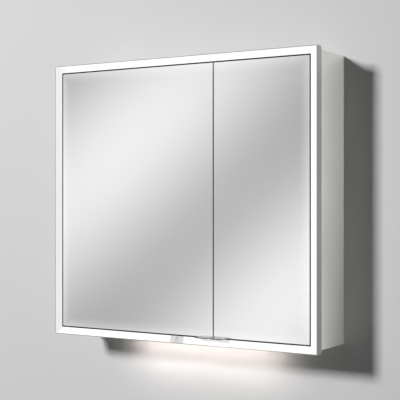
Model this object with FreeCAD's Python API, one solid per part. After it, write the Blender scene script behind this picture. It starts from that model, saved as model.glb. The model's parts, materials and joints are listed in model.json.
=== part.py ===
import FreeCAD, Part
import math
import os

os.makedirs("parts", exist_ok=True)
Vector = FreeCAD.Vector

# A wall-hung mirror cabinet with a lit front frame. Millimetres, +Z up, the room at -Y.
# The origin is on the wall plane, midway between the two holes of the wall rail.

# Overall
width = 800.0
height = 740.0
depth = 165.0             # wall to the front edge of the lit frame
rail_drop = 120.0         # top of the cabinet down to the wall rail's holes

# Lit front frame: four mitred channels, each closed by a sloping diffuser
frame_depth = 25.0
frame_width = 19.0
frame_wall = 1.6
lit_recess = 6.0          # how far the lit face falls from the outer rim to the doors
rim_setback = 0.5         # the rim stands this far in front of the diffuser
diffuser_t = 2.0
diffuser_clear = 0.2
mitre_gap = 0.1

# Carcass
side_inset = 5.0          # carcass side, in from the frame's side
end_inset = 8.0           # carcass top and bottom, in from the frame's
panel_t = 2.0
lip_width = 10.0
end_lip_width = 8.0
wall_cavity = 12.0        # space behind the back panel for the hanging parts
angle_leg = 15.0
angle_t = 1.5

# Doors
door_split_x = 108.0
door_gap = 3.0
frame_gap = 2.5
mirror_t = 4.0
core_t = 11.0
inner_mirror_t = 3.0
inner_mirror_inset = 14.0
door_bar = 22.0
fit_clear = 0.2

# Door pivots
pivot_inset = 15.0        # door edge to pivot axis
pin_r = 2.5
pin_wall = 1.0            # between the pin's bore and the mirror glass
running_clear = 0.05
pin_grip = 12.0
pin_reach = 9.0
collar_r = 4.2
bush_wall = 1.05
bush_reach = 11.0
flange_r = 5.0
flange_t = 0.8
block_length = 36.0

# Handles
handle_width = 40.0
handle_front = 17.3       # in front of the frame's rim
handle_back = 17.0        # behind it, under the door
handle_t = 2.0
handle_sunk = 1.0         # of its thickness, let into the door's lower edge
handle_corner_r = 2.0
screw_r = 1.5
screw_head_r = 2.7
screw_head_h = 1.4

# Magnetic catches
catch_width = 60.0
catch_depth = 20.0
catch_overlap = 13.0      # how far a catch reaches behind the door
catch_gap = 0.3
magnet_proud = 0.8
magnet_width = 20.0
magnet_height = 9.0
magnet_depth = 8.0

# Lighting and electrical pieces
strip_t = 1.4
strip_width = 10.0
strip_front = 10.0
sensor_width = 40.0
board_t = 1.6
downlight_end = 113.0     # side panel to the end of the downlight
downlight_width = 16.0
channel_h = 12.0
channel_gap = 3.0         # behind the catches
channel_wall = 1.6
cover_length = 592.0
cover_height = 60.0
cover_depth = 48.0
cover_t = 2.0
gland_bore_r = 5.0
gland_body_r = 8.0
gland_flange_r = 11.0
gland_flange_t = 2.0
gland_from_cover_end = 100.0
driver_size = (180.0, 30.0, 28.0)
terminal_size = (40.0, 18.0, 20.0)
trunk_width = 14.0
trunk_depth = 11.0
socket_width = 80.0
socket_height = 60.0
socket_depth = 30.0
socket_face_r = 19.0

# Shelves
shelf_t = 6.0
shelf_rail_w = 14.0
shelf_rail_d = 9.0
groove_w = 6.0
groove_d = 6.0
slide_clear = 0.3
clamp_width = 18.0
clamp_reach = 18.0
clamp_lip = 5.0
upper_shelf_z = 110.0     # shelf undersides, from the cabinet's mid-height
lower_shelf_z = -120.0
rail_end_margin = 70.0
wall_mirror_t = 3.0

# Hanging parts
wall_rail_t = 2.0
wall_rail_end = 53.0
wall_hole_inset = 40.0
wall_hole_r = 3.25
wall_rail_low = 15.0
wall_rail_high = 33.0
rail_step = 4.0
hanger_width = 60.0
hanger_inset = 110.0
rivet_r = 2.0
spacer_width = 44.0
spacer_height = 30.0
spacer_hole_r = 3.0
spacer_z = 40.0           # spacer hole, up from the carcass's floor

# Worked-out places
half_w = width / 2
top_z = rail_drop
bottom_z = top_z - height
mid_z = (top_z + bottom_z) / 2
front_y = -depth
carcass_y = front_y + frame_depth
carcass_x = half_w - side_inset
inner_x = carcass_x - panel_t
carcass_half_h = height / 2 - end_inset
inner_half_h = carcass_half_h - panel_t
back_front_y = -wall_cavity - panel_t
opening_x = half_w - frame_width
opening_half_h = height / 2 - frame_width
door_x = opening_x - frame_gap
door_half_h = opening_half_h - frame_gap
door_front_y = front_y + lit_recess
core_front_y = door_front_y + mirror_t
core_back_y = core_front_y + core_t
door_back_y = core_back_y + inner_mirror_t
pivot_x = door_x - pivot_inset
pivot_y = core_front_y + pin_wall + pin_r
sweep_r = math.hypot(pivot_inset, door_back_y - pivot_y)
mirror_face_y = back_front_y - wall_mirror_t
shelf_front_y = pivot_y + sweep_r + 7.0
shelf_back_y = mirror_face_y - 13.0
shelf_half_w = inner_x - shelf_rail_d - slide_clear - 2.2
bush_r = pin_r + running_clear + bush_wall
catch_front_y = door_back_y + catch_gap + magnet_proud
channel_half_w = downlight_width / 2 + 4.0
lens_y = catch_front_y + catch_depth + channel_gap + channel_half_w
lens_half = inner_x - downlight_end


def box(x0, x1, y0, y1, z0, z1):
    low = Vector(min(x0, x1), min(y0, y1), min(z0, z1))
    return Part.makeBox(abs(x1 - x0), abs(y1 - y0), abs(z1 - z0), low)


def prism(points, along):
    """A closed polygon of Vectors pushed along a Vector."""
    wire = Part.makePolygon(points + [points[0]])
    return Part.Face(wire).extrude(along)


def rod(radius, start, length, axis):
    return Part.makeCylinder(radius, length, start, axis)


def save(name, solids):
    shape = solids[0] if len(solids) == 1 else Part.makeCompound(solids)
    shape.exportStep("parts/" + name + ".step")


def spans(side):
    """The two ends of a frame member, along X for top and bottom, along Z for the sides."""
    if side in ("top", "bottom"):
        return -half_w, half_w
    return bottom_z, top_z


def at(side, u, v, s):
    """u: in from the outer edge, v: back from the front edge, s: along the member."""
    places = {
        "top": (s, front_y + v, top_z - u),
        "bottom": (s, front_y + v, bottom_z + u),
        "left": (-half_w + u, front_y + v, s),
        "right": (half_w - u, front_y + v, s),
    }
    return Vector(*places[side])


def mitred(side, profile):
    """A frame member of the given (u, v) profile, cut at 45 degrees at both ends."""
    low, high = spans(side)
    blank = prism([at(side, u, v, low) for u, v in profile], at(side, 0, 0, high) - at(side, 0, 0, low))
    reach = frame_width + 1.0
    outline = [
        at(side, 0, -1, low + mitre_gap),
        at(side, 0, -1, high - mitre_gap),
        at(side, reach, -1, high - mitre_gap - reach),
        at(side, reach, -1, low + mitre_gap + reach),
    ]
    return blank.common(prism(outline, Vector(0, frame_depth + 2, 0)))


def lit_face(u):
    """Depth of the lit face behind the frame's front edge, at u in from the outer edge."""
    start = frame_wall + diffuser_clear
    fall = (lit_recess - rim_setback) / (frame_width - start)
    return rim_setback + (u - start) * fall


def door_ends(side):
    """Hinge edge and free edge of a door, as X values."""
    if side == "left":
        return -door_x, door_split_x - door_gap / 2
    return door_x, door_split_x + door_gap / 2


# Carcass panels: folded sheet, with lips at the front for the frame and at the wall
def side_panel(sign):
    outer, inner, lip = sign * carcass_x, sign * inner_x, sign * (inner_x - lip_width)
    low, high = mid_z - carcass_half_h, mid_z + carcass_half_h
    sheet = box(outer, inner, carcass_y, 0, low, high)
    front_lip = box(inner, lip, carcass_y, carcass_y + panel_t, low + panel_t, high - panel_t)
    wall_lip = box(inner, lip, -panel_t, 0, low + panel_t, high - panel_t)
    return sheet.fuse(front_lip).fuse(wall_lip).removeSplitter()


def end_panel(sign):
    outer, inner = mid_z + sign * carcass_half_h, mid_z + sign * inner_half_h
    lip = inner - sign * end_lip_width
    reach = inner_x - lip_width - fit_clear
    sheet = box(-inner_x, inner_x, carcass_y, 0, outer, inner)
    front_lip = box(-reach, reach, carcass_y, carcass_y + panel_t, inner, lip)
    wall_lip = box(-reach, reach, -panel_t, 0, inner, lip)
    return sheet.fuse(front_lip).fuse(wall_lip).removeSplitter()


frame_screw_spots = []
for side in ("top", "bottom"):
    for x in (-half_w + 150, half_w - 150):
        frame_screw_spots.append(at(side, end_inset + panel_t + 4, 0, x))
for side in ("left", "right"):
    for z in (bottom_z + 150, top_z - 150):
        frame_screw_spots.append(at(side, side_inset + panel_t + 5, 0, z))


def drill_frame_screws(solid):
    for spot in frame_screw_spots:
        start = Vector(spot.x, carcass_y - 5, spot.z)
        solid = solid.cut(rod(screw_r + running_clear, start, 10, Vector(0, 1, 0)))
    return solid


lens_slot = box(-lens_half - fit_clear, lens_half + fit_clear,
                lens_y - downlight_width / 2 - fit_clear, lens_y + downlight_width / 2 + fit_clear,
                mid_z - carcass_half_h - 1, mid_z - inner_half_h + 1)

save("side_panel_left", [drill_frame_screws(side_panel(-1))])
save("side_panel_right", [drill_frame_screws(side_panel(1))])
save("top_panel", [drill_frame_screws(end_panel(1))])
save("bottom_panel", [drill_frame_screws(end_panel(-1)).cut(lens_slot)])

# The electrical housing fills the upper rear corner; the gland lies inside it
cover_right = inner_x - 1.0
cover_left = cover_right - cover_length
cover_top = mid_z + inner_half_h
cover_bottom = cover_top - cover_height
gland_x = cover_left + gland_from_cover_end
gland_z = (cover_top + cover_bottom) / 2
spacer_x = inner_x - wall_rail_end - wall_hole_inset
spacer_mid_z = mid_z - inner_half_h + spacer_z
hanger_x = inner_x - hanger_inset
rivet_spots = [(s * hanger_x + d, z) for s in (-1, 1) for d in (-20, 20) for z in (-8,)]

back_panel = box(-inner_x, inner_x, back_front_y, -wall_cavity, mid_z - inner_half_h, mid_z + inner_half_h)
gland_start = Vector(gland_x, back_front_y - 1, gland_z)
back_panel = back_panel.cut(rod(gland_body_r + running_clear, gland_start, panel_t + 2, Vector(0, 1, 0)))
for sign in (-1, 1):
    hole_start = Vector(sign * spacer_x, back_front_y - 1, spacer_mid_z)
    back_panel = back_panel.cut(rod(spacer_hole_r, hole_start, panel_t + 2, Vector(0, 1, 0)))
for x, z in rivet_spots:
    rivet_start = Vector(x, back_front_y - 1, z)
    back_panel = back_panel.cut(rod(rivet_r + running_clear, rivet_start, panel_t + 2, Vector(0, 1, 0)))
save("back_panel", [back_panel])


def corner_angle(x_sign, z_sign):
    x0, z0 = x_sign * inner_x, mid_z + z_sign * inner_half_h
    y0, y1 = carcass_y + panel_t + 4, back_front_y - cover_depth - 4
    upright = box(x0, x0 - x_sign * angle_t, y0, y1, z0, z0 - z_sign * angle_leg)
    level = box(x0, x0 - x_sign * angle_leg, y0, y1, z0, z0 - z_sign * angle_t)
    return upright.fuse(level).removeSplitter()


save("corner_angles", [corner_angle(i, j) for i in (-1, 1) for j in (-1, 1)])


# Front frame: open-fronted channels, joined at the mitres by flat corner brackets
inner_wall_front = lit_face(frame_width) + diffuser_t + diffuser_clear
channel_profile = [
    (0, 0),
    (frame_wall, 0),
    (frame_wall, frame_depth - frame_wall),
    (frame_width - frame_wall, frame_depth - frame_wall),
    (frame_width - frame_wall, inner_wall_front),
    (frame_width, inner_wall_front),
    (frame_width, frame_depth),
    (0, frame_depth),
]


def pivot_axis(end):
    return Vector(0, 0, 1 if end == "top" else -1)


def at_pivot(side, end, beyond):
    """A point on a door's pivot axis, beyond the frame's inner wall by the given length."""
    sign_x = -1 if side == "left" else 1
    sign_z = 1 if end == "top" else -1
    return Vector(sign_x * pivot_x, pivot_y, mid_z + sign_z * (opening_half_h + beyond))


for side in ("top", "bottom", "left", "right"):
    member = drill_frame_screws(mitred(side, channel_profile))
    if side in ("top", "bottom"):
        for door in ("left", "right"):
            start = at_pivot(door, side, -1)
            member = member.cut(rod(bush_r + running_clear, start, frame_wall + 2, pivot_axis(side)))
    save("frame_" + side, [member])

bracket_inner, bracket_outer, bracket_arm, bracket_t = 6.0, 15.0, 50.0, 4.0


def corner_bracket(x_sign, z_sign):
    flat = [(bracket_inner, bracket_inner), (bracket_arm, bracket_inner), (bracket_arm, bracket_outer),
            (bracket_outer, bracket_outer), (bracket_outer, bracket_arm), (bracket_inner, bracket_arm)]
    y = front_y + frame_depth - frame_wall - bracket_t
    outline = [Vector(x_sign * (half_w - a), y, mid_z + z_sign * (height / 2 - b)) for a, b in flat]
    return prism(outline, Vector(0, bracket_t, 0))


save("frame_corner_brackets", [corner_bracket(i, j) for i in (-1, 1) for j in (-1, 1)])


def frame_screw(spot):
    head = rod(screw_head_r, Vector(spot.x, carcass_y + panel_t, spot.z), 1.6, Vector(0, 1, 0))
    shank_length = panel_t + frame_wall + 1.2
    shank_start = Vector(spot.x, carcass_y + panel_t - shank_length, spot.z)
    shank = rod(screw_r, shank_start, shank_length, Vector(0, 1, 0))
    return head.fuse(shank)


save("frame_screws", [frame_screw(spot) for spot in frame_screw_spots])

# Diffusers: flat sloping strips; the lower one is parted for the touch sensor
edge_u = frame_wall + diffuser_clear
diffuser_profile = [
    (edge_u, lit_face(edge_u)),
    (frame_width, lit_face(frame_width)),
    (frame_width, lit_face(frame_width) + diffuser_t),
    (edge_u, lit_face(edge_u) + diffuser_t),
]
lower_diffuser = mitred("bottom", diffuser_profile)
gap_half = sensor_width / 2 + fit_clear
sensor_gap = box(-gap_half, gap_half, front_y, front_y + frame_depth, bottom_z, bottom_z + frame_width + 1)
save("diffuser_bottom", lower_diffuser.cut(sensor_gap).Solids)
for side in ("top", "left", "right"):
    save("diffuser_" + side, [mitred(side, diffuser_profile)])
sensor_outline = [at("bottom", u, v, -sensor_width / 2) for u, v in diffuser_profile]
save("touch_sensor", [prism(sensor_outline, Vector(sensor_width, 0, 0))])
sensor_board = box(-sensor_width / 2 + 3, sensor_width / 2 - 3,
                   front_y + inner_wall_front + 0.6, front_y + inner_wall_front + 0.6 + board_t,
                   bottom_z + frame_wall + 4, bottom_z + frame_width - frame_wall)
save("sensor_board", [sensor_board])

strip_margin = frame_width + 4.0


def led_strip(side):
    low, high = spans(side)
    section = [(frame_wall, strip_front), (frame_wall + strip_t, strip_front),
               (frame_wall + strip_t, strip_front + strip_width), (frame_wall, strip_front + strip_width)]
    outline = [at(side, u, v, low + strip_margin) for u, v in section]
    return prism(outline, at(side, 0, 0, high - strip_margin) - at(side, 0, 0, low + strip_margin))


save("frame_led_strips", [led_strip(side) for side in ("top", "bottom", "left", "right")])

# Downlight, let into the floor panel and shining down
floor_z = mid_z - inner_half_h
under_z = mid_z - carcass_half_h
lens_flange_t = 1.2
lens_flange_half_w = downlight_width / 2 + 1.5
lens_front, lens_rear = lens_y - downlight_width / 2, lens_y + downlight_width / 2
lens_body = box(-lens_half, lens_half, lens_front, lens_rear, under_z, floor_z)
lens_flange = box(-lens_half, lens_half, lens_y - lens_flange_half_w, lens_y + lens_flange_half_w,
                  floor_z, floor_z + lens_flange_t)
save("downlight_lens", [lens_body.fuse(lens_flange).removeSplitter()])
channel_outer = box(-lens_half - 4, lens_half + 4, lens_y - channel_half_w, lens_y + channel_half_w,
                    floor_z, floor_z + channel_h)
channel_inner = box(-lens_half - 4 + channel_wall, lens_half + 4 - channel_wall,
                    lens_y - channel_half_w + channel_wall, lens_y + channel_half_w - channel_wall,
                    floor_z - 1, floor_z + channel_h - channel_wall)
save("downlight_channel", [channel_outer.cut(channel_inner)])
board_top = floor_z + channel_h - channel_wall
led_board = box(-lens_half + 2, lens_half - 2, lens_y - strip_width / 2, lens_y + strip_width / 2,
                board_top - board_t, board_top)
save("downlight_led_board", [led_board])

# Electrical housing, driver, terminals, trunking and the closed-shutter outlet
cover_front_y = back_front_y - cover_depth
cover_outer = box(cover_left, cover_right, cover_front_y, back_front_y, cover_bottom, cover_top)
cover_hollow = box(cover_left + cover_t, cover_right - cover_t, cover_front_y + cover_t, back_front_y + 1,
                   cover_bottom + cover_t, cover_top + 1)
trunk_x0 = inner_x - 1.0 - trunk_width
trunk_x1 = inner_x - 1.0
trunk_front_y = mirror_face_y - trunk_depth
trunk_entry = box(trunk_x0 + cover_t, trunk_x1 - cover_t - 1, trunk_front_y + cover_t, back_front_y + 1,
                  cover_bottom - 1, cover_bottom + cover_t + 1)
save("driver_cover", [cover_outer.cut(cover_hollow).cut(trunk_entry)])
driver_x0 = gland_x + 120.0
driver_z0 = cover_bottom + 12.0
save("led_driver", [box(driver_x0, driver_x0 + driver_size[0], back_front_y - driver_size[1], back_front_y,
                        driver_z0, driver_z0 + driver_size[2])])
terminal_x0 = gland_x + 40.0
save("terminal_block", [box(terminal_x0, terminal_x0 + terminal_size[0], back_front_y - terminal_size[1],
                            back_front_y, driver_z0, driver_z0 + terminal_size[2])])
socket_z0 = floor_z + 6.0
socket_z1 = socket_z0 + socket_height
socket_x1 = inner_x - 1.0
socket_x0 = socket_x1 - socket_width
socket_y = back_front_y - socket_depth
trunk_outer = box(trunk_x0, trunk_x1, trunk_front_y, back_front_y, socket_z1, cover_bottom)
trunk_hollow = box(trunk_x0 + 1.5, trunk_x1 - 1.5, trunk_front_y + 1.5, back_front_y + 1,
                   socket_z1 - 1, cover_bottom + 1)
save("cable_trunking", [trunk_outer.cut(trunk_hollow)])
socket_mid = Vector((socket_x0 + socket_x1) / 2, socket_y, (socket_z0 + socket_z1) / 2)
insert_depth = 12.0
socket_body = box(socket_x0, socket_x1, socket_y, back_front_y, socket_z0, socket_z1)
socket_seat = rod(socket_face_r + fit_clear, socket_mid - Vector(0, 1, 0), insert_depth + 1, Vector(0, 1, 0))
save("socket_housing", [socket_body.cut(socket_seat)])
insert = rod(socket_face_r, socket_mid, insert_depth, Vector(0, 1, 0))
shutter_r, shutter_pitch, shutter_depth = 2.4, 19.0, 1.0
for sign in (-1, 1):
    start = socket_mid + Vector(sign * shutter_pitch / 2, -1, 0)
    insert = insert.cut(rod(shutter_r, start, shutter_depth + 1, Vector(0, 1, 0)))
save("socket_insert", [insert])

gland = rod(gland_body_r, Vector(gland_x, back_front_y, gland_z), panel_t, Vector(0, 1, 0))
for y in (back_front_y - gland_flange_t, -wall_cavity):
    gland = gland.fuse(rod(gland_flange_r, Vector(gland_x, y, gland_z), gland_flange_t, Vector(0, 1, 0)))
gland_length = panel_t + 2 * gland_flange_t
gland_mouth = Vector(gland_x, back_front_y - gland_flange_t, gland_z)
gland_hole = rod(gland_bore_r, gland_mouth, gland_length, Vector(0, 1, 0))
save("cable_gland", [gland.cut(gland_hole).removeSplitter()])

mirror_low = socket_z1 + 4.0
mirror_high = cover_bottom - 2.0
mirror_half_w = trunk_x0 - 2.0
rear_mirror = box(-mirror_half_w, mirror_half_w, mirror_face_y, back_front_y, mirror_low, mirror_high)
save("rear_wall_mirror", [rear_mirror])


# Shelf rails on the side walls, and glass shelves whose clamps slide in their grooves
rail_front_y = shelf_front_y + 11.0
rail_rear_y = shelf_back_y - 15.0
rail_spots = [(sign, y) for sign in (-1, 1) for y in (rail_front_y, rail_rear_y)]
rail_low = mid_z - inner_half_h + rail_end_margin
rail_high = mid_z + inner_half_h - rail_end_margin


def shelf_rail(sign, y):
    face = inner_x - shelf_rail_d
    bar = box(sign * inner_x, sign * face, y - shelf_rail_w / 2, y + shelf_rail_w / 2, rail_low, rail_high)
    groove = box(sign * (face - 1), sign * (face + groove_d), y - groove_w / 2, y + groove_w / 2,
                 rail_low - 1, rail_high + 1)
    return bar.cut(groove)


save("shelf_rails", [shelf_rail(sign, y) for sign, y in rail_spots])


def shelf_clamp(sign, y, z):
    face = inner_x - shelf_rail_d - slide_clear
    tongue_half = groove_w / 2 - slide_clear
    z0, z1 = z - clamp_lip, z + shelf_t + clamp_lip
    body = box(sign * face, sign * (face - clamp_reach), y - clamp_width / 2, y + clamp_width / 2, z0, z1)
    tongue = box(sign * face, sign * (face + groove_d), y - tongue_half, y + tongue_half, z0, z1)
    slot = box(sign * (shelf_half_w + fit_clear), sign * (face - clamp_reach - 1),
               y - clamp_width / 2 - 1, y + clamp_width / 2 + 1, z, z + shelf_t)
    return body.fuse(tongue).cut(slot).removeSplitter()


for name, offset in (("upper", upper_shelf_z), ("lower", lower_shelf_z)):
    z = mid_z + offset
    glass = box(-shelf_half_w, shelf_half_w, shelf_front_y, shelf_back_y, z, z + shelf_t)
    edges = [e for e in glass.Edges if abs(e.BoundBox.ZLength) < 0.01]
    save(name + "_shelf", [glass.makeChamfer(0.8, edges)])
    save(name + "_shelf_clamps", [shelf_clamp(sign, y, z) for sign, y in rail_spots])

# Pivots: steel blocks in the frame's channels carry plain bushes for the door pins
block_deep = 2 * (bush_r + 1.4)


def pivot_block(side, end):
    mid = at_pivot(side, end, 0)
    direction = pivot_axis(end).z
    z_near = mid.z + direction * frame_wall
    z_far = mid.z + direction * (bush_reach + 1.0)
    block = box(mid.x - block_length / 2, mid.x + block_length / 2,
                mid.y - block_deep / 2, mid.y + block_deep / 2, z_near, z_far)
    return block.cut(rod(bush_r + running_clear, mid, bush_reach + 3, pivot_axis(end)))


def pivot_bush(side, end):
    mid = at_pivot(side, end, 0)
    bush = rod(bush_r, mid, bush_reach, pivot_axis(end))
    bush = bush.fuse(rod(flange_r, at_pivot(side, end, -flange_t), flange_t, pivot_axis(end)))
    bore_start = at_pivot(side, end, -flange_t - 1)
    return bush.cut(rod(pin_r + running_clear, bore_start, bush_reach + flange_t + 2, pivot_axis(end)))


corners = [(side, end) for side in ("left", "right") for end in ("top", "bottom")]
save("pivot_blocks", [pivot_block(side, end) for side, end in corners])
save("pivot_bushes", [pivot_bush(side, end) for side, end in corners])


# Magnetic catches behind the doors' meeting edges, above and below
def behind_lip(sign, solid):
    inner = mid_z + sign * inner_half_h
    lip = inner - sign * (end_lip_width + fit_clear)
    cleared = box(-inner_x, inner_x, carcass_y - 5, carcass_y + panel_t + fit_clear, inner, lip)
    return solid.cut(cleared)


magnet_spots = []
housings = []
for sign in (-1, 1):
    inner = mid_z + sign * inner_half_h
    reach = mid_z + sign * (door_half_h - catch_overlap)
    housing = box(door_split_x - catch_width / 2, door_split_x + catch_width / 2,
                  catch_front_y, catch_front_y + catch_depth, inner, reach)
    housing = behind_lip(sign, housing)
    frame_back = box(-half_w, half_w, front_y, carcass_y + fit_clear, inner,
                     mid_z + sign * (opening_half_h - fit_clear))
    housing = housing.cut(frame_back)
    magnet_z = reach + sign * (1.5 + magnet_height / 2)
    for door_sign in (-1, 1):
        magnet_x = door_split_x + door_sign * (magnet_width / 2 + 5.0)
        magnet_spots.append((magnet_x, magnet_z))
        pocket_x, pocket_z = magnet_width / 2 + running_clear, magnet_height / 2 + running_clear
        pocket = box(magnet_x - pocket_x, magnet_x + pocket_x,
                     catch_front_y - 2, catch_front_y + magnet_depth,
                     magnet_z - pocket_z, magnet_z + pocket_z)
        housing = housing.cut(pocket)
    housings.append(housing)
save("magnet_housings", housings)
save("catch_magnets", [box(x - magnet_width / 2, x + magnet_width / 2,
                           catch_front_y - magnet_proud, catch_front_y + magnet_depth,
                           z - magnet_height / 2, z + magnet_height / 2) for x, z in magnet_spots])


# Doors: mirror glass in front, aluminium edge frame with a filled core, mirror behind
handle_z0 = mid_z - door_half_h + handle_sunk - handle_t
handle_y0 = front_y - handle_front
handle_y1 = front_y + handle_back
handle_screw_y = core_front_y + core_t / 2


def handle_x(side):
    free = door_ends(side)[1]
    return (free - handle_width, free) if side == "left" else (free, free + handle_width)


def handle_screw_x(side):
    low, high = handle_x(side)
    return low + handle_width / 4, high - handle_width / 4


def handle_pocket(side):
    low, high = handle_x(side)
    return box(low - fit_clear, high + fit_clear, handle_y0, handle_y1 + fit_clear,
               handle_z0, handle_z0 + handle_t + running_clear)


def door_pins(side):
    pins = []
    for end in ("top", "bottom"):
        away = pivot_axis(end)
        shank = rod(pin_r, at_pivot(side, end, -frame_gap - pin_grip), pin_grip + frame_gap + pin_reach, away)
        collar_length = frame_gap - flange_t - 0.1
        collar = rod(collar_r, at_pivot(side, end, -frame_gap), collar_length, away)
        pins.append(shank.fuse(collar).removeSplitter())
    return pins


def strike_plates(side):
    plates = []
    for x, z in magnet_spots:
        on_left = x < door_split_x
        if on_left == (side == "left"):
            sign = 1 if z > mid_z else -1
            edge = mid_z + sign * (door_half_h - 1.0)
            plates.append(box(x - 12, x + 12, core_back_y, door_back_y, edge, edge - sign * 11.5))
    return plates


def handle_plate(side):
    low, high = handle_x(side)
    plate = box(low, high, handle_y0, handle_y1, handle_z0, handle_z0 + handle_t)
    upright = [e for e in plate.Edges if e.BoundBox.ZLength > handle_t / 2 and e.BoundBox.YMin < front_y]
    plate = plate.makeFillet(handle_corner_r, upright)
    for x in handle_screw_x(side):
        plate = plate.cut(handle_screw(x, running_clear))
    return plate


def handle_screw(x, grow):
    up = Vector(0, 0, 1)
    base = Vector(x, handle_screw_y, handle_z0)
    cone = Part.makeCone(screw_head_r + grow, screw_r + grow, screw_head_h, base, up)
    return cone.fuse(rod(screw_r + grow, base, 10 + grow, up)).removeSplitter()


for side in ("left", "right"):
    hinge_x, free_x = door_ends(side)
    inward = 1 if side == "left" else -1
    low, high = mid_z - door_half_h, mid_z + door_half_h
    pocket = handle_pocket(side)

    ring = box(hinge_x, free_x, core_front_y, core_back_y, low, high)
    hollow = box(hinge_x + inward * door_bar, free_x - inward * door_bar, core_front_y - 1, core_back_y + 1,
                 low + door_bar, high - door_bar)
    ring = ring.cut(hollow).cut(pocket)
    for end in ("top", "bottom"):
        start = at_pivot(side, end, -frame_gap - pin_grip - fit_clear)
        ring = ring.cut(rod(pin_r + running_clear, start, pin_grip + 2, pivot_axis(end)))
    for x in handle_screw_x(side):
        ring = ring.cut(handle_screw(x, running_clear))
    save(side + "_door_frame", [ring])

    def inset_panel(inset, y0, y1):
        return box(hinge_x + inward * inset, free_x - inward * inset, y0, y1, low + inset, high - inset)

    save(side + "_door_core", [inset_panel(door_bar + fit_clear, core_front_y, core_back_y)])
    save(side + "_door_mirror", [inset_panel(0, door_front_y, core_front_y).cut(pocket)])
    save(side + "_door_inner_mirror", [inset_panel(inner_mirror_inset, core_back_y, door_back_y)])
    save(side + "_door_pivot_pins", door_pins(side))
    save(side + "_door_strike_plates", strike_plates(side))
    save(side + "_door_handle", [handle_plate(side)])
    save(side + "_door_handle_screws", [handle_screw(x, 0) for x in handle_screw_x(side)])

# Hanging parts: a stepped rail on the wall, and two hooked brackets on the back panel
rail_half = inner_x - wall_rail_end
lip_front = -rail_step - wall_rail_t
lip_low = wall_rail_high - 13.0
rail_section = [
    (0, -wall_rail_low), (0, lip_low), (-rail_step, lip_low), (-rail_step, wall_rail_high),
    (lip_front, wall_rail_high), (lip_front, lip_low - wall_rail_t),
    (-wall_rail_t, lip_low - wall_rail_t), (-wall_rail_t, -wall_rail_low),
]
rail = prism([Vector(-rail_half, y, z) for y, z in rail_section], Vector(2 * rail_half, 0, 0))
wall_hole_x = rail_half - wall_hole_inset
for sign in (-1, 1):
    start = Vector(sign * wall_hole_x, -wall_rail_t - 1, 0)
    rail = rail.cut(rod(wall_hole_r, start, wall_rail_t + 2, Vector(0, 1, 0)))
save("wall_rail", [rail])

hook_gap = 0.4
hook_front = -rail_step + hook_gap
hook_low = wall_rail_high - 10.0
hook_top = wall_rail_high + panel_t
hook_back = hook_front + panel_t
hook_plate_y = -wall_cavity + panel_t
hook_section = [
    (-wall_cavity, -wall_rail_low), (hook_plate_y, -wall_rail_low), (hook_plate_y, wall_rail_high),
    (hook_front, wall_rail_high), (hook_front, hook_low), (hook_back, hook_low),
    (hook_back, hook_top), (-wall_cavity, hook_top),
]


def hanger(sign):
    start = sign * hanger_x - hanger_width / 2
    bracket = prism([Vector(start, y, z) for y, z in hook_section], Vector(hanger_width, 0, 0))
    for x, z in rivet_spots:
        hole = Vector(x, -wall_cavity - 1, z)
        bracket = bracket.cut(rod(rivet_r + running_clear, hole, panel_t + 2, Vector(0, 1, 0)))
    return bracket


save("hanger_brackets", [hanger(-1), hanger(1)])


def rivet(x, z):
    shank = rod(rivet_r, Vector(x, back_front_y, z), 2 * panel_t, Vector(0, 1, 0))
    head = rod(rivet_r + 1.5, Vector(x, -wall_cavity + panel_t, z), 1.2, Vector(0, 1, 0))
    return shank.fuse(head).removeSplitter()


save("hanger_rivets", [rivet(x, z) for x, z in rivet_spots])


def spacer(sign):
    x = sign * spacer_x
    block = box(x - spacer_width / 2, x + spacer_width / 2, -wall_cavity, 0,
                spacer_mid_z - spacer_height / 2, spacer_mid_z + spacer_height / 2)
    start = Vector(x, -wall_cavity - 1, spacer_mid_z)
    return block.cut(rod(spacer_hole_r, start, wall_cavity + 2, Vector(0, 1, 0)))


save("lower_spacers", [spacer(-1), spacer(1)])
print("door pivots at x", pivot_x, "y", pivot_y)
print("gland", gland_x, gland_z, "spacers", spacer_x, spacer_mid_z, "wall holes", wall_hole_x)
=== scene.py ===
import bpy
import bmesh
import json
import math
from mathutils import Matrix, Vector


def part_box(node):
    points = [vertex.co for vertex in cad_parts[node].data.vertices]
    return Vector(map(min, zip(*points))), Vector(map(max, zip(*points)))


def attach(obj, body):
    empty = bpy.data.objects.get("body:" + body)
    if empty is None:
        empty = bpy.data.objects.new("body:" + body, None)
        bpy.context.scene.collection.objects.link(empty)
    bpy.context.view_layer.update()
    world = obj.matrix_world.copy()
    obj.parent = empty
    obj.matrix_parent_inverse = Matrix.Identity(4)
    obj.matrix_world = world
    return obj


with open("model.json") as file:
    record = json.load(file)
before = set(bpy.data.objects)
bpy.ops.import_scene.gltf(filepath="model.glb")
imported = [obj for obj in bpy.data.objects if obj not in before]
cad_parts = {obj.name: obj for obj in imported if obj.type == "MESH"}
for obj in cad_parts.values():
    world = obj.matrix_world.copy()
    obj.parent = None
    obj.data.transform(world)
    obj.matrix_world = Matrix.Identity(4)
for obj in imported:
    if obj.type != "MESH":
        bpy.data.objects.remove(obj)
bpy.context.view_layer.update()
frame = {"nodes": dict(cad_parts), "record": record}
print("stage: frame loaded")

slotOf = {part["node"]: part["material_slot"] for part in frame["record"]["subparts"]}
cabinetLow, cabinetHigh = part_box("frame_left")[0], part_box("frame_right")[1]
frameFront = cabinetLow.y
middle = (cabinetLow + cabinetHigh) / 2
doorLow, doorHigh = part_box("left_door_mirror")[0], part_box("right_door_mirror")[1]


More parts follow.
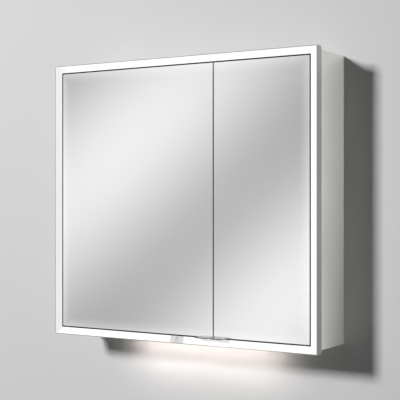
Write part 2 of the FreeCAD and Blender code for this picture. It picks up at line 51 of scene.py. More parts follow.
# Shader maths: a wrapped socket, so that an expression on values adds its Math nodes
class Value:
    def __init__(self, paint, socket):
        self.paint = paint
        self.socket = socket

    def math(self, operation, *others):
        inputs = dict(enumerate((self,) + others))
        return self.paint.add("ShaderNodeMath", {"operation": operation}, inputs)

    def __add__(self, other):
        return self.math("ADD", other)

    __radd__ = __add__

    def __mul__(self, other):
        return self.math("MULTIPLY", other)

    __rmul__ = __mul__

    def __sub__(self, other):
        return self.math("SUBTRACT", other)

    def __rsub__(self, other):
        return (self * -1) + other

    def __truediv__(self, other):
        return self.math("DIVIDE", other)

    def clamped(self):
        return self.math("MAXIMUM", 0.0).math("MINIMUM", 1.0)

    def between(self, low, high):
        return ((self - low) / (high - low)).clamped()


class Paint:
    def __init__(self, name, tree=None):
        if tree is None:
            self.material = bpy.data.materials.new(name)
            self.material.use_nodes = True
            tree = self.material.node_tree
        self.tree = tree
        tree.nodes.clear()

    def add(self, kind, settings=None, inputs=None, output=0):
        node = self.tree.nodes.new(kind)
        for key, setting in (settings or {}).items():
            if key == "stops":
                ramp = node.color_ramp
                while len(ramp.elements) < len(setting):
                    ramp.elements.new(0.5)
                for element, (position, color) in zip(ramp.elements, setting):
                    element.position = position
                    element.color = color if len(color) == 4 else (*color, 1)
            else:
                setattr(node, key, setting)
        for key, value in (inputs or {}).items():
            socket = node.inputs[key]
            if isinstance(value, Value):
                self.tree.links.new(value.socket, socket)
            elif hasattr(socket.default_value, "__len__") and len(socket.default_value) == 4:
                socket.default_value = value if len(value) == 4 else (*value, 1)
            else:
                socket.default_value = value
        return Value(self, node.outputs[output]) if node.outputs else node

    def coords(self, scale=(1, 1, 1), location=(0, 0, 0), rotation=(0, 0, 0)):
        objectCoords = self.add("ShaderNodeTexCoord", output=3)
        return self.add("ShaderNodeMapping", {}, {"Vector": objectCoords, "Scale": scale,
                                                  "Location": location, "Rotation": rotation})

    def axis(self, index):
        objectCoords = self.add("ShaderNodeTexCoord", output=3)
        return self.add("ShaderNodeSeparateXYZ", {}, {0: objectCoords}, index)

    def noise(self, scale, stretch=(1, 1, 1), detail=3.0, roughness=0.5):
        return self.add("ShaderNodeTexNoise", {}, {"Vector": self.coords(stretch), "Scale": scale,
                                                   "Detail": detail, "Roughness": roughness})

    def nearestSide(self, low, high):
        sides = (self.axis(0) - low.x, high.x - self.axis(0), self.axis(2) - low.z, high.z - self.axis(2))
        return sides[0].math("MINIMUM", sides[1]).math("MINIMUM", sides[2].math("MINIMUM", sides[3]))

    def mix(self, factor, first, second):
        return self.add("ShaderNodeMix", {"data_type": "RGBA"}, {0: factor, 6: first, 7: second}, 2)

    def bump(self, height, strength, distance):
        return self.add("ShaderNodeBump", {}, {"Strength": strength, "Distance": distance, "Height": height})

    def surface(self, inputs):
        return self.add("ShaderNodeBsdfPrincipled", {}, inputs)

    def finish(self, shader):
        self.add("ShaderNodeOutputMaterial", {}, {"Surface": shader})
        return self.material


# Finishes
def brushedAluminium(name, look):
    paint = Paint(name)
    fine = paint.noise(look["grainScale"], look["grainStretch"], 4.0, 0.6)
    broad = paint.noise(look["cloudScale"], (1, 1, 1), 2.0)
    color = paint.mix(fine * 0.5 + broad * 0.5, look["dark"], look["light"])
    # Painted light on the front face: a lighter colour on the frame as a painted highlight, near black on the handle
    # as painted shade
    if "paintedFrontShading" in look:
        cut = 1 - (paint.axis(1) - look["frontFaceY"]).between(0.0003, 0.0008)
        color = paint.mix(cut, color, look["paintedFrontShading"])
    rough = fine * look["roughSpread"] + look["rough"]
    normal = paint.bump(fine, look["bump"], 0.0002)
    return paint.finish(paint.surface({"Base Color": color, "Metallic": look["metallic"], "Roughness": rough,
                                       "Normal": normal}))


# The frame's front face gets a lighter colour, a painted highlight; the handle's front edge gets a near-black one,
# painted shade
frameMetal = {"grainScale": 60.0, "grainStretch": (1, 1, 0.03), "cloudScale": 5.0, "dark": (0.26, 0.26, 0.26),
              "light": (0.32, 0.32, 0.32), "roughSpread": 0.14, "rough": 0.3, "bump": 0.12, "metallic": 0.6,
              "paintedFrontShading": (0.45, 0.45, 0.45), "frontFaceY": frameFront}
carcassMetal = {"grainScale": 900.0, "grainStretch": (1, 1, 1), "cloudScale": 6.0, "dark": (0.60, 0.61, 0.56),
                "light": (0.68, 0.69, 0.64), "roughSpread": 0.1, "rough": 0.36, "bump": 0.1, "metallic": 0.3}
doorMetal = {"grainScale": 70.0, "grainStretch": (1, 1, 0.03), "cloudScale": 7.0, "dark": (0.5, 0.5, 0.5),
             "light": (0.62, 0.62, 0.62), "roughSpread": 0.12, "rough": 0.3, "bump": 0.1, "metallic": 0.9}
handleMetal = {"grainScale": 90.0, "grainStretch": (0.04, 1, 1), "cloudScale": 20.0, "dark": (0.62, 0.62, 0.62),
               "light": (0.72, 0.72, 0.72), "roughSpread": 0.12, "rough": 0.22, "bump": 0.1, "metallic": 0.95,
               "paintedFrontShading": (0.02, 0.02, 0.02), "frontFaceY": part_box("left_door_handle")[0].y}
steel = {"grainScale": 120.0, "grainStretch": (1, 1, 0.1), "cloudScale": 20.0, "dark": (0.42, 0.42, 0.43),
         "light": (0.58, 0.58, 0.59), "roughSpread": 0.15, "rough": 0.28, "bump": 0.1, "metallic": 1.0}
zincSteel = {"grainScale": 250.0, "grainStretch": (1, 1, 1), "cloudScale": 18.0, "dark": (0.42, 0.43, 0.44),
             "light": (0.6, 0.61, 0.63), "roughSpread": 0.2, "rough": 0.4, "bump": 0.2, "metallic": 0.8}
magnetMetal = {"grainScale": 200.0, "grainStretch": (1, 1, 1), "cloudScale": 30.0, "dark": (0.25, 0.25, 0.26),
               "light": (0.36, 0.36, 0.37), "roughSpread": 0.12, "rough": 0.25, "bump": 0.1, "metallic": 1.0}


def mouldedPlastic(name, look):
    paint = Paint(name)
    grain = paint.noise(look["grainScale"], detail=2.0)
    cloud = paint.noise(9.0)
    color = paint.mix(cloud, look["dark"], look["light"])
    rough = grain * 0.12 + look["rough"]
    normal = paint.bump(grain, look["bump"], 0.0002)
    return paint.finish(paint.surface({"Base Color": color, "Roughness": rough, "Normal": normal}))


whitePlastic = {"grainScale": 1500.0, "dark": (0.74, 0.74, 0.72), "light": (0.82, 0.82, 0.8),
                "rough": 0.38, "bump": 0.15}
sensorAcrylic = {"grainScale": 2000.0, "dark": (0.84, 0.84, 0.83), "light": (0.9, 0.9, 0.89),
                 "rough": 0.2, "bump": 0.03}
greyPlastic = {"grainScale": 1300.0, "dark": (0.22, 0.225, 0.23), "light": (0.28, 0.285, 0.29),
               "rough": 0.45, "bump": 0.2}
bushPlastic = {"grainScale": 900.0, "dark": (0.72, 0.71, 0.66), "light": (0.8, 0.79, 0.75),
               "rough": 0.35, "bump": 0.1}
darkRubber = {"grainScale": 1100.0, "dark": (0.012, 0.012, 0.012), "light": (0.03, 0.03, 0.03),
              "rough": 0.6, "bump": 0.3}
boardMask = {"grainScale": 1600.0, "dark": (0.76, 0.76, 0.74), "light": (0.85, 0.85, 0.83),
             "rough": 0.3, "bump": 0.05}
greenMask = {"grainScale": 1600.0, "dark": (0.02, 0.12, 0.05), "light": (0.03, 0.18, 0.08),
             "rough": 0.28, "bump": 0.05}
coreFill = {"grainScale": 500.0, "dark": (0.4, 0.33, 0.24), "light": (0.55, 0.46, 0.35),
            "rough": 0.7, "bump": 0.4}

# The reach and strength of the painted glow along the door mirrors' edge are set here too
mirrorLook = {"silver": (0.93, 0.935, 0.935), "haze": 0.08, "hazeRough": 0.4, "paintedGlowReach": 0.034, "paintedEdgeGlow": 0.22,
              "backedEdge": 0.0009, "backedBlend": 0.0004, "backing": (0.12, 0.12, 0.12)}


# Silver seen through glass: sharp, with a little haze over it
def silvering(paint, color, look):
    wipe = paint.noise(5.0, (1, 1, 0.6), 3.0)
    rough = (wipe - 0.5).clamped() * 0.02 + 0.004
    sharp = paint.surface({"Base Color": color, "Metallic": 1.0, "Roughness": rough})
    soft = paint.surface({"Base Color": color, "Metallic": 1.0, "Roughness": look["hazeRough"]})
    return paint.add("ShaderNodeMixShader", {}, {0: wipe * 0.04 + look["haze"], 1: sharp, 2: soft})


def plainMirror(name, look):
    paint = Paint(name)
    return paint.finish(silvering(paint, look["silver"], look))


# Painted glow: the door mirrors are mixed with a glowing surface along their outer edge, next to the lit frame
def mirrorWithPaintedGlow(name, look):
    paint = Paint(name)
    nearest = paint.nearestSide(doorLow, doorHigh)
    silverFrom = nearest.between(look["backedEdge"], look["backedEdge"] + look["backedBlend"])
    color = paint.mix(silverFrom, look["backing"], look["silver"])
    # A glowing surface, mixed in near the mirror's edge as painted glow
    paintedGlowShader = paint.surface({"Base Color": (0.9, 0.9, 0.9), "Roughness": 0.6, "Emission Color": (1, 1, 1, 1),
                         "Emission Strength": 0.45})
    edge = 1 - nearest.between(0.0, look["paintedGlowReach"])
    glow = edge * edge * silverFrom * look["paintedEdgeGlow"]
    return paint.finish(paint.add("ShaderNodeMixShader", {}, {0: glow, 1: silvering(paint, color, look), 2: paintedGlowShader}))


# Lit from within, with a bright line along the frame's rim; the dimmer left end is painted shade
def litAcrylic(name, look):
    paint = Paint(name)
    hotLine = 1 - paint.nearestSide(cabinetLow, cabinetHigh).between(0.003, 0.006)
    # Painted shade: less glow near the left end
    fromLeft = (paint.axis(0) - cabinetLow.x).between(0.01, 0.05)
    cloud = paint.noise(3.0, detail=1.0)
    full = ((cloud * 0.2 + 0.8) * fromLeft + hotLine * look["hotLine"]).clamped()
    glow = paint.mix(full, tuple(c * look["dimmest"] for c in look["color"]), look["color"])
    ribs = (paint.axis(0) * look["ribs"]).math("SINE")
    normal = paint.bump(ribs * 0.5 + paint.noise(700.0, detail=2.0) * 0.5, look["bump"], 0.0003)
    return paint.finish(paint.surface({"Base Color": look["base"], "Roughness": 0.32, "Normal": normal,
                                       "Emission Color": glow, "Emission Strength": look["strength"]}))


litFace = {"base": (0.5, 0.5, 0.49), "color": (1.0, 1.0, 0.99), "strength": 0.68, "dimmest": 0.67, "hotLine": 0.7,
           "ribs": 0.0, "bump": 0.03}
warmLens = {"base": (0.9, 0.9, 0.89), "color": (1.0, 0.9, 0.85), "strength": 0.8, "dimmest": 0.9, "hotLine": 0.0,
            "ribs": 1570.0, "bump": 0.4}


def clearGlass(name):
    paint = Paint(name)
    wipe = paint.noise(14.0, detail=2.0)
    edgeTint = paint.add("ShaderNodeFresnel", {}, {"IOR": 1.3})
    color = paint.mix(edgeTint, (0.86, 0.95, 0.92), (0.35, 0.62, 0.54))
    return paint.finish(paint.surface({"Base Color": color, "Roughness": wipe * 0.02 + 0.01,
                                       "Transmission Weight": 1.0, "IOR": 1.5}))


levelFrame = dict(frameMetal, grainStretch=(0.03, 1, 1))
finishes = {
    "frame_aluminium": brushedAluminium("FrameAluminium", frameMetal),
    "carcass_aluminium": brushedAluminium("CarcassAluminium", carcassMetal),
    "door_aluminium": brushedAluminium("DoorAluminium", doorMetal),
    "handle_metal": brushedAluminium("HandleAluminium", handleMetal),
    "pivot_steel": brushedAluminium("PivotSteel", steel),
    "screw_steel": brushedAluminium("ScrewSteel", steel),
    "wall_steel": brushedAluminium("WallSteel", zincSteel),
    "magnet": brushedAluminium("MagnetNickel", magnetMetal),
    "mirror_glass": mirrorWithPaintedGlow("MirrorGlass", mirrorLook),
    "lit_diffuser": litAcrylic("LitAcrylic", litFace),
    "downlight_lens": litAcrylic("WarmAcrylic", warmLens),
    "led_board": mouldedPlastic("WhiteBoard", boardMask),
    "sensor_board": mouldedPlastic("GreenBoard", greenMask),
    "white_plastic": mouldedPlastic("WhitePlastic", whitePlastic),
    "grey_plastic": mouldedPlastic("GreyPlastic", greyPlastic),
    "bush_plastic": mouldedPlastic("NaturalAcetal", bushPlastic),
    "dark_rubber": mouldedPlastic("DarkRubber", darkRubber),
    "core_board": mouldedPlastic("CoreBoard", coreFill),
    "sensor_cover": mouldedPlastic("SensorAcrylic", sensorAcrylic),
    "shelf_glass": clearGlass("ShelfGlass"),
}
ownFinish = {"frame_top": brushedAluminium("LevelFrameAluminium", levelFrame)}
ownFinish["frame_bottom"] = ownFinish["frame_top"]
innerMirror = plainMirror("PlainMirrorGlass", mirrorLook)
for nodeName in ("rear_wall_mirror", "left_door_inner_mirror", "right_door_inner_mirror"):
    ownFinish[nodeName] = innerMirror
for nodeName, node in frame["nodes"].items():
    node.data.materials.clear()
    node.data.materials.append(ownFinish.get(nodeName, finishes[slotOf[nodeName]]))
print("stage: finishes on", len(frame["nodes"]), "pieces")


# New pieces: helpers for work in edit mode
def startEdit():
    bpy.ops.object.transform_apply(location=True, rotation=True, scale=True)
    bpy.ops.object.mode_set(mode="EDIT")
    bpy.ops.mesh.select_mode(type="FACE")


def pick(test):
    mesh = bmesh.from_edit_mesh(bpy.context.object.data)
    for face in mesh.faces:
        face.select_set(test(face.calc_center_median(), face.normal))
    bmesh.update_edit_mesh(bpy.context.object.data)


def addBlock(centre, size):
    bpy.ops.object.select_all(action="DESELECT")
    bpy.ops.mesh.primitive_cube_add(size=1, location=centre)
    bpy.context.object.scale = size
    startEdit()


def addDisc(centre, radius, depth, rotation=(0, 0, 0), vertices=32):
    bpy.ops.object.select_all(action="DESELECT")
    bpy.ops.mesh.primitive_cylinder_add(radius=radius, depth=depth, vertices=vertices, location=centre,
                                        rotation=rotation)
    startEdit()


def roundEdges(width, segments=2):
    bpy.ops.object.mode_set(mode="OBJECT")
    soften = bpy.context.object.modifiers.new("Soften", "BEVEL")
    soften.width = width
    soften.segments = segments
    soften.limit_method = "ANGLE"
    soften.angle_limit = math.radians(40)
    bpy.ops.object.modifier_apply(modifier=soften.name)
    bpy.ops.object.shade_smooth_by_angle(angle=math.radians(35))


def finishPiece(name, body, slot, recalculate=False):
    bpy.ops.object.mode_set(mode="EDIT")
    bpy.ops.mesh.select_all(action="SELECT")
    if recalculate:
        bpy.ops.mesh.remove_doubles(threshold=0.000001)
        bpy.ops.mesh.normals_make_consistent(inside=False)
    bpy.ops.object.mode_set(mode="OBJECT")
    piece = bpy.context.object
    piece.name = name
    piece.data.materials.clear()
    piece.data.materials.append(finishes[slot])
    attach(piece, body)
    return piece


# One finished object is copied to each place with its own mesh, and the copies are joined
def repeatPiece(template, moves, name, body, slot):
    bpy.ops.object.select_all(action="DESELECT")
    for move in moves:
        copy = template.copy()
        copy.data = template.data.copy()
        copy.data.transform(move)
        bpy.context.collection.objects.link(copy)
        copy.select_set(True)
        bpy.context.view_layer.objects.active = copy
    bpy.ops.object.join()
    return finishPiece(name, body, slot)


# Dark gasket in the gap round the doors, partly painted shade: it darkens the gap and hides the lit inner edge of the
# diffusers
gasket = {"thick": 0.0005, "front": -0.1590, "back": -0.1560}
gapLeft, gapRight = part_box("diffuser_left")[1].x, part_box("diffuser_right")[0].x
gapBelow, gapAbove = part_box("diffuser_bottom")[1].z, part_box("diffuser_top")[0].z
bpy.ops.object.select_all(action="DESELECT")
bpy.ops.mesh.primitive_plane_add(size=1, rotation=(math.radians(90), 0, 0),
                                 location=((gapLeft + gapRight) / 2, gasket["front"], (gapBelow + gapAbove) / 2))
bpy.context.object.scale = (gapRight - gapLeft, gapAbove - gapBelow, 1)
startEdit()
bpy.ops.mesh.inset(thickness=gasket["thick"])
bpy.ops.mesh.delete(type="FACE")
bpy.ops.mesh.select_all(action="SELECT")
bpy.ops.mesh.extrude_region_move(TRANSFORM_OT_translate={"value": (0, gasket["back"] - gasket["front"], 0)})
finishPiece("door_gap_shade_gasket", "cabinet", "dark_rubber", recalculate=True)
print("stage: gasket")

# Ring and bar inlaid in the touch field, on its slope
mark = {"radius": 0.0048, "ring": 0.0005, "thick": 0.0004, "barRadius": 0.0006, "barFoot": 0.0022, "barLength": 0.0044,
        "faceY": -0.16175, "faceRun": (0.0055, 0.0172)}
sensorLow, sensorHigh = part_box("touch_sensor")
slope = math.atan2(*mark["faceRun"])
faceCentre = Vector((0, mark["faceY"], (sensorLow.z + sensorHigh.z) / 2))
faceOut = Vector((0, -math.cos(slope), math.sin(slope)))
upFace = Vector((0, math.sin(slope), math.cos(slope)))
markTilt = (math.radians(90) - slope, 0, 0)
addDisc(faceCentre, mark["radius"], mark["thick"], markTilt, 48)
pick(lambda centre, normal: abs(normal.dot(faceOut)) > 0.9)
bpy.ops.mesh.inset(thickness=mark["ring"], use_individual=True)
bpy.ops.mesh.bridge_edge_loops()
finishPiece("touch_field_ring", "cabinet", "grey_plastic", recalculate=True)
addDisc(faceCentre + Vector((0, 0, mark["barFoot"])), mark["barRadius"], mark["thick"], markTilt, 16)
pick(lambda centre, normal: normal.dot(upFace) > 0.3)
bpy.ops.transform.translate(value=upFace * mark["barLength"])
finishPiece("touch_field_bar", "cabinet", "grey_plastic", recalculate=True)
print("stage: touch field mark")

# Knurled thumb nuts under the shelf clamps, each on a short stem
thumbNut = {"radius": 0.0065, "depth": 0.006, "ribs": 28, "knurl": 0.00035, "stem": 0.0026, "stemLength": 0.001,
            "rim": 0.0011, "dish": 0.0006, "fromClampEnd": 0.015, "fromClampSide": 0.009}
for shelf in ("upper_shelf", "lower_shelf"):
    clampLow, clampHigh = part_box(shelf + "_clamps")
    addDisc((0, 0, -thumbNut["depth"] / 2 - 2 * thumbNut["stemLength"]), thumbNut["radius"], thumbNut["depth"],
            vertices=thumbNut["ribs"])
    pick(lambda centre, normal: abs(normal.z) < 0.5)
    bpy.ops.mesh.inset(thickness=thumbNut["knurl"], depth=-thumbNut["knurl"], use_individual=True)
    pick(lambda centre, normal: normal.z > 0.9)
    bpy.ops.mesh.inset(thickness=thumbNut["radius"] - thumbNut["stem"])
    bpy.ops.mesh.extrude_region_move(TRANSFORM_OT_translate={"value": (0, 0, thumbNut["stemLength"])})
    pick(lambda centre, normal: normal.z < -0.9)
    bpy.ops.mesh.inset(thickness=thumbNut["rim"])
    bpy.ops.mesh.inset(thickness=thumbNut["dish"], depth=-thumbNut["dish"])
    nut = finishPiece("thumb_nut", shelf, "pivot_steel")
    nutX = clampHigh.x - thumbNut["fromClampEnd"]
    nutYs = (clampLow.y + thumbNut["fromClampSide"], clampHigh.y - thumbNut["fromClampSide"])
    repeatPiece(nut, [Matrix.Translation((x, y, clampLow.z)) for x in (-nutX, nutX) for y in nutYs],
                shelf + "_thumb_nuts", shelf, "pivot_steel")
    bpy.data.objects.remove(nut)
print("stage: thumb nuts")

# Pan head screws with a cross recess, facing -Y
panHead = {"radius": 0.0036, "clear": 0.0014, "height": 0.0017, "dome": 0.0008, "recess": 0.0011, "arm": 0.0044,
           "armWidth": 0.0009, "backSides": (-0.378, 0.378), "backHeights": (0.09, -0.13, -0.36, -0.50),
           "backMiddle": (-0.21, 0.0, 0.21), "cover": (-0.19, 0.0, 0.19, 0.378)}
addDisc((0, -panHead["height"] / 2, 0), panHead["radius"], panHead["height"], (math.radians(90), 0, 0))
pick(lambda centre, normal: normal.y < -0.9)
bpy.ops.mesh.bevel(offset=panHead["dome"], segments=3, affect="EDGES")
head = finishPiece("pan_head", "cabinet", "screw_steel")
for across, along in ((panHead["arm"], panHead["armWidth"]), (panHead["armWidth"], panHead["arm"])):
    addBlock((0, -panHead["height"], 0), (across, panHead["recess"] * 2, along))
    bpy.ops.object.mode_set(mode="OBJECT")
    cutter = bpy.context.object
    bpy.ops.object.select_all(action="DESELECT")
    head.select_set(True)
    bpy.context.view_layer.objects.active = head
    cut = head.modifiers.new("Recess", "BOOLEAN")
    cut.operation = "DIFFERENCE"
    cut.solver = "EXACT"
    cut.object = cutter
    bpy.ops.object.modifier_apply(modifier=cut.name)
    bpy.data.objects.remove(cutter)
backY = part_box("back_panel")[1].y
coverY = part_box("driver_cover")[0].y
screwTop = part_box("top_panel")[0].z - panHead["radius"] - panHead["clear"]
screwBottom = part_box("bottom_panel")[1].z + panHead["radius"] + panHead["clear"]
facingBack = Matrix.Rotation(math.radians(180), 4, "Z")
backPlaces = [(x, z) for x in panHead["backSides"] for z in panHead["backHeights"]]
backPlaces += [(x, z) for x in panHead["backMiddle"] for z in (screwTop, screwBottom)]
repeatPiece(head, [Matrix.Translation((x, backY, z)) @ facingBack for x, z in backPlaces],
            "back_panel_screws", "cabinet", "screw_steel")
repeatPiece(head, [Matrix.Translation((x, coverY, screwTop)) for x in panHead["cover"]],
            "driver_cover_screws", "cabinet", "screw_steel")
bpy.data.objects.remove(head)
print("stage: screws")

# Cooling louvres pressed out of the driver cover, each with a lip along its lower edge
louvre = {"size": (0.034, 0.0018, 0.0034), "taper": (0.86, 1, 0.55), "lip": 0.0004, "drop": (0, 0.0001, 0.0012),
          "round": 0.0003, "lowest": 0.068, "gap": 0.0075, "rows": 4, "columns": (-0.12, -0.07, 0.10, 0.15)}
addBlock((0, -louvre["size"][1] / 2, 0), louvre["size"])
pick(lambda centre, normal: normal.y < -0.9)
bpy.ops.transform.resize(value=louvre["taper"], center_override=(0, 0, -louvre["size"][2] / 2))
pick(lambda centre, normal: normal.z < -0.5)
bpy.ops.mesh.inset(thickness=louvre["lip"])
bpy.ops.mesh.extrude_region_move(TRANSFORM_OT_translate={"value": louvre["drop"]})
roundEdges(louvre["round"])
vent = finishPiece("louvre", "cabinet", "carcass_aluminium")
repeatPiece(vent, [Matrix.Translation((x, coverY, louvre["lowest"] + row * louvre["gap"]))
                   for x in louvre["columns"] for row in range(louvre["rows"])],
            "driver_cover_louvres", "cabinet", "carcass_aluminium")
bpy.data.objects.remove(vent)

# Stiffening swages pressed out of the back panel
swage = {"size": (0.66, 0.0022, 0.02), "taper": (0.975, 1, 0.4), "round": 0.0012, "heights": (-0.17, -0.44)}
addBlock((0, swage["size"][1] / 2, 0), swage["size"])
pick(lambda centre, normal: normal.y > 0.9)
bpy.ops.transform.resize(value=swage["taper"], center_override=(0, 0, 0))
roundEdges(swage["round"], 3)
rib = finishPiece("swage", "cabinet", "carcass_aluminium")
repeatPiece(rib, [Matrix.Translation((0, backY, z)) for z in swage["heights"]],
            "back_panel_swages", "cabinet", "carcass_aluminium")
bpy.data.objects.remove(rib)
print("stage: louvres and swages")

# Collar and earth springs of the outlet
outlet = {"inner": 0.0192, "outer": 0.0222, "proud": 0.0012, "round": 0.0005, "spring": (0.0055, 0.0008, 0.0034),
          "springTaper": (0.7, 1, 0.5), "springAt": 0.0168, "springProud": 0.0003, "springRound": 0.0002,
          "taperAt": 0.0178}
insertLow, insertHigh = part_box("socket_insert")
insertCentre = (insertLow + insertHigh) / 2
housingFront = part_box("socket_housing")[0].y
addDisc((insertCentre.x, housingFront - outlet["proud"] / 2, insertCentre.z), outlet["outer"], outlet["proud"],
        (math.radians(90), 0, 0), 64)
pick(lambda centre, normal: abs(normal.y) > 0.9)
bpy.ops.mesh.inset(thickness=outlet["outer"] - outlet["inner"], use_individual=True)
bpy.ops.mesh.bridge_edge_loops()
roundEdges(outlet["round"], 3)
finishPiece("outlet_collar", "cabinet", "white_plastic", recalculate=True)
for name, side in (("above", 1), ("below", -1)):
    addBlock((insertCentre.x, housingFront - outlet["springProud"], insertCentre.z + side * outlet["springAt"]),
             outlet["spring"])
    pick(lambda centre, normal: normal.y < -0.9)
    bpy.ops.transform.resize(value=outlet["springTaper"],
                             center_override=tuple(insertCentre + Vector((0, 0, side * outlet["taperAt"]))))
    roundEdges(outlet["springRound"])
    finishPiece("outlet_earth_spring_" + name, "cabinet", "pivot_steel")

# Dark shutters set back in the two pin holes
shutter = {"radius": 0.0023, "front": 0.0005, "back": 0.0009, "pitch": 0.019, "lip": 0.0006, "proud": 0.0002}
addDisc((0, insertLow.y + (shutter["front"] + shutter["back"]) / 2, 0), shutter["radius"],
        shutter["back"] - shutter["front"], (math.radians(90), 0, 0), 24)
pick(lambda centre, normal: normal.y < -0.9)
bpy.ops.mesh.inset(thickness=shutter["lip"], depth=-shutter["proud"])
disc = finishPiece("outlet_shutter", "cabinet", "dark_rubber")
repeatPiece(disc, [Matrix.Translation((insertCentre.x + side * shutter["pitch"] / 2, 0, insertCentre.z))
                   for side in (-1, 1)],
            "outlet_shutters", "cabinet", "dark_rubber")
bpy.data.objects.remove(disc)
print("stage: outlet details")

# Small softened edges on the folded, sawn and moulded CAD pieces
softened = {"frame_aluminium": 0.0003, "carcass_aluminium": 0.0004, "door_aluminium": 0.0003, "handle_metal": 0.0003,
            "white_plastic": 0.0008, "grey_plastic": 0.0005, "wall_steel": 0.0003, "mirror_glass": 0.0004,
            "shelf_glass": 0.0006, "magnet": 0.0003}
leftSharp = ("back_panel", "lower_spacers", "wall_rail", "hanger_brackets")
for nodeName, node in frame["nodes"].items():
    if slotOf[nodeName] in softened and nodeName not in leftSharp:
        weld = node.modifiers.new("Weld", "WELD")
        weld.merge_threshold = 0.00001
        edge = node.modifiers.new("Edge", "BEVEL")
        edge.width = softened[slotOf[nodeName]]
        edge.segments = 2
        edge.limit_method = "ANGLE"
        edge.angle_limit = math.radians(40)
print("stage: edges softened")


# Room: a wall, a floor, lights and the camera
def addPlane(name, size, location, rotation):
    bpy.ops.object.select_all(action="DESELECT")
    bpy.ops.mesh.primitive_plane_add(size=size, location=location, rotation=rotation)
    plane = bpy.context.object
    plane.name = name
    return plane


room = {"color": (0.75, 0.75, 0.752), "wallBack": 0.0006, "floorDrop": 1.35, "size": 14.0}


# Wall and floor show only from their front, so the cabinet's back and underside can be seen too
def roomPaint(name):
    paint = Paint(name)
    grain = paint.noise(180.0, detail=3.0)
    plain = paint.surface({"Base Color": room["color"], "Roughness": 1.0, "Specular IOR Level": 0.0,
                           "Normal": paint.bump(grain, 0.05, 0.001)})
    clear = paint.add("ShaderNodeBsdfTransparent")
    behind = paint.add("ShaderNodeNewGeometry", output="Backfacing")
    return paint.finish(paint.add("ShaderNodeMixShader", {}, {0: behind, 1: plain, 2: clear}))


wall = addPlane("Wall", room["size"], (middle.x, room["wallBack"], middle.z), (math.radians(90), 0, 0))
wall.data.materials.append(roomPaint("WallPaint"))
wall.visible_shadow = False
floor = addPlane("Floor", room["size"], (0, 0, middle.z - room["floorDrop"]), (0, 0, 0))
floor.data.materials.append(roomPaint("FloorPaint"))
floor.visible_shadow = False
floor.visible_diffuse = False
floor.visible_glossy = False


def addArea(name, location, target, size, power, color=(1, 1, 1), sizeY=None):
    bpy.ops.object.light_add(type="AREA", location=location)
    light = bpy.context.object
    light.name = name
    light.data.energy = power
    light.data.color = color
    light.data.size = size
    if sizeY:
        light.data.shape = "RECTANGLE"
        light.data.size_y = sizeY
    light.rotation_euler = (Vector(target) - Vector(location)).to_track_quat("-Z", "Y").to_euler()
    return light


wallCentre = Vector((middle.x, 0, middle.z))
strips = {"out": 0.465, "aim": 0.395, "front": -0.17, "aimY": -0.1, "width": 0.02, "power": 0.16,
          "SideFill": {"height": -0.14, "length": 1.0}, "SideFillLow": {"height": -0.28, "length": 0.6}}
warm = {"color": (1.0, 0.895, 0.85), "width": 0.81, "power": 0.265, "aimDrop": 0.045, "spread": 90,
        "spillWidth": 0.74, "spillPower": 0.07, "spillX": -0.03, "spillY": -0.03, "spillDrop": 0.004}

# The key light and the lamp behind stay out of the mirrors by their place or their ray settings
key = addArea("KeyLight", wallCentre + Vector((-2.06, -4.92, 1.73)), wallCentre + Vector((0.3, 0, -0.4)), 0.85, 258)
key.visible_glossy = False
addArea("RearFill", wallCentre + Vector((0.8, 3.2, 0.6)), wallCentre, 2.0, 54)
unseen = [addArea("LowFill", wallCentre + Vector((0.35, -0.8, -1.6)), wallCentre + Vector((0.3, 0, -0.4)), 0.9, 1.0)]

# Two narrow strips beside the frame light only the frame and the carcass
cabinetOnly = bpy.data.collections.new("CabinetOnly")
for nodeName, node in frame["nodes"].items():
    if slotOf[nodeName] in ("carcass_aluminium", "frame_aluminium"):
        cabinetOnly.objects.link(node)
for name in ("SideFill", "SideFillLow"):
    height = strips[name]["height"]
    strip = addArea(name, wallCentre + Vector((strips["out"], strips["front"], height)),
                    wallCentre + Vector((strips["aim"], strips["aimY"], height)), strips["width"], strips["power"],
                    sizeY=strips[name]["length"])
    strip.light_linking.receiver_collection = cabinetOnly
    unseen.append(strip)

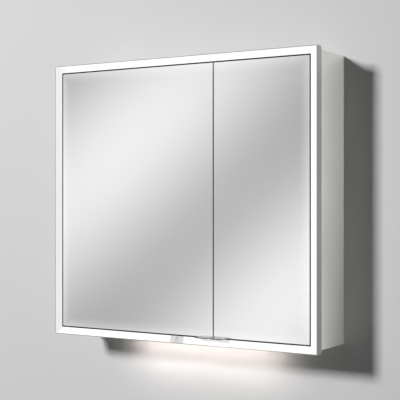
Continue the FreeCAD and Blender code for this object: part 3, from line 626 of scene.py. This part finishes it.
# Warm light from the lens, and what spills on to the wall
lensLow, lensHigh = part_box("downlight_lens")
lensCentre = (lensLow + lensHigh) / 2
lensWidth = lensHigh.x - lensLow.x
down = addArea("Downlight", (lensCentre.x, lensCentre.y, lensLow.z - 0.001),
               (lensCentre.x, 0, lensLow.z - warm["aimDrop"]), lensWidth * warm["width"], warm["power"],
               warm["color"], lensHigh.y - lensLow.y)
down.data.spread = math.radians(warm["spread"])
spillX = lensCentre.x + warm["spillX"]
unseen += [down, addArea("DownlightSpill", (spillX, warm["spillY"], lensLow.z - warm["spillDrop"]),
                         (spillX, warm["spillY"] + 0.01, lensLow.z - 0.1), lensWidth * warm["spillWidth"],
                         warm["spillPower"], warm["color"], 0.01)]
for light in unseen:
    light.visible_camera = False
    light.visible_glossy = False

# Soft bands of light on the far side of the room, which the mirrors show; dimmer as plain fill
bands = {"across": (16.6, -10.3, -19.6), "shift": 2.59, "level": 0.785, "swing": 0.27, "fill": 0.035,
         "backdrop": 0.62, "centre": (-0.524, -0.851, -0.024), "falloff": 14.0, "mostDimmed": 0.25}
world = bpy.data.worlds.new("Studio")
bpy.context.scene.world = world
world.use_nodes = True
sky = Paint("Studio", world.node_tree)
direction = sky.add("ShaderNodeTexCoord")
across = sky.add("ShaderNodeVectorMath", {"operation": "DOT_PRODUCT"}, {0: direction, 1: bands["across"]}, 1)
ahead = sky.add("ShaderNodeVectorMath", {"operation": "DOT_PRODUCT"}, {0: direction, 1: bands["centre"]}, 1)
dimmed = 1 - ((1 - ahead) * bands["falloff"]).math("MINIMUM", bands["mostDimmed"])
level = ((across + bands["shift"]).math("COSINE") * bands["swing"] + bands["level"]) * dimmed
glossy = sky.add("ShaderNodeLightPath", output="Is Glossy Ray")
diffuse = sky.add("ShaderNodeLightPath", output="Is Diffuse Ray")
strength = glossy * level + diffuse * bands["fill"] + (1 - glossy - diffuse) * bands["backdrop"]
shine = sky.add("ShaderNodeBackground", {}, {"Color": (1, 1, 1, 1), "Strength": strength})
sky.add("ShaderNodeOutputWorld", {}, {"Surface": shine})

camera = {"offset": (1.4934, -2.288, 0.0), "turn": 0.55579, "lens": 95.36}
bpy.ops.object.camera_add(location=Vector((middle.x, frameFront, middle.z)) + Vector(camera["offset"]),
                          rotation=(math.radians(90), 0, camera["turn"]))
bpy.context.object.data.lens = camera["lens"]
bpy.context.object.data.sensor_width = 36
bpy.context.scene.camera = bpy.context.object
bpy.context.scene.view_settings.view_transform = "Standard"
print("stage: room, lights and camera")
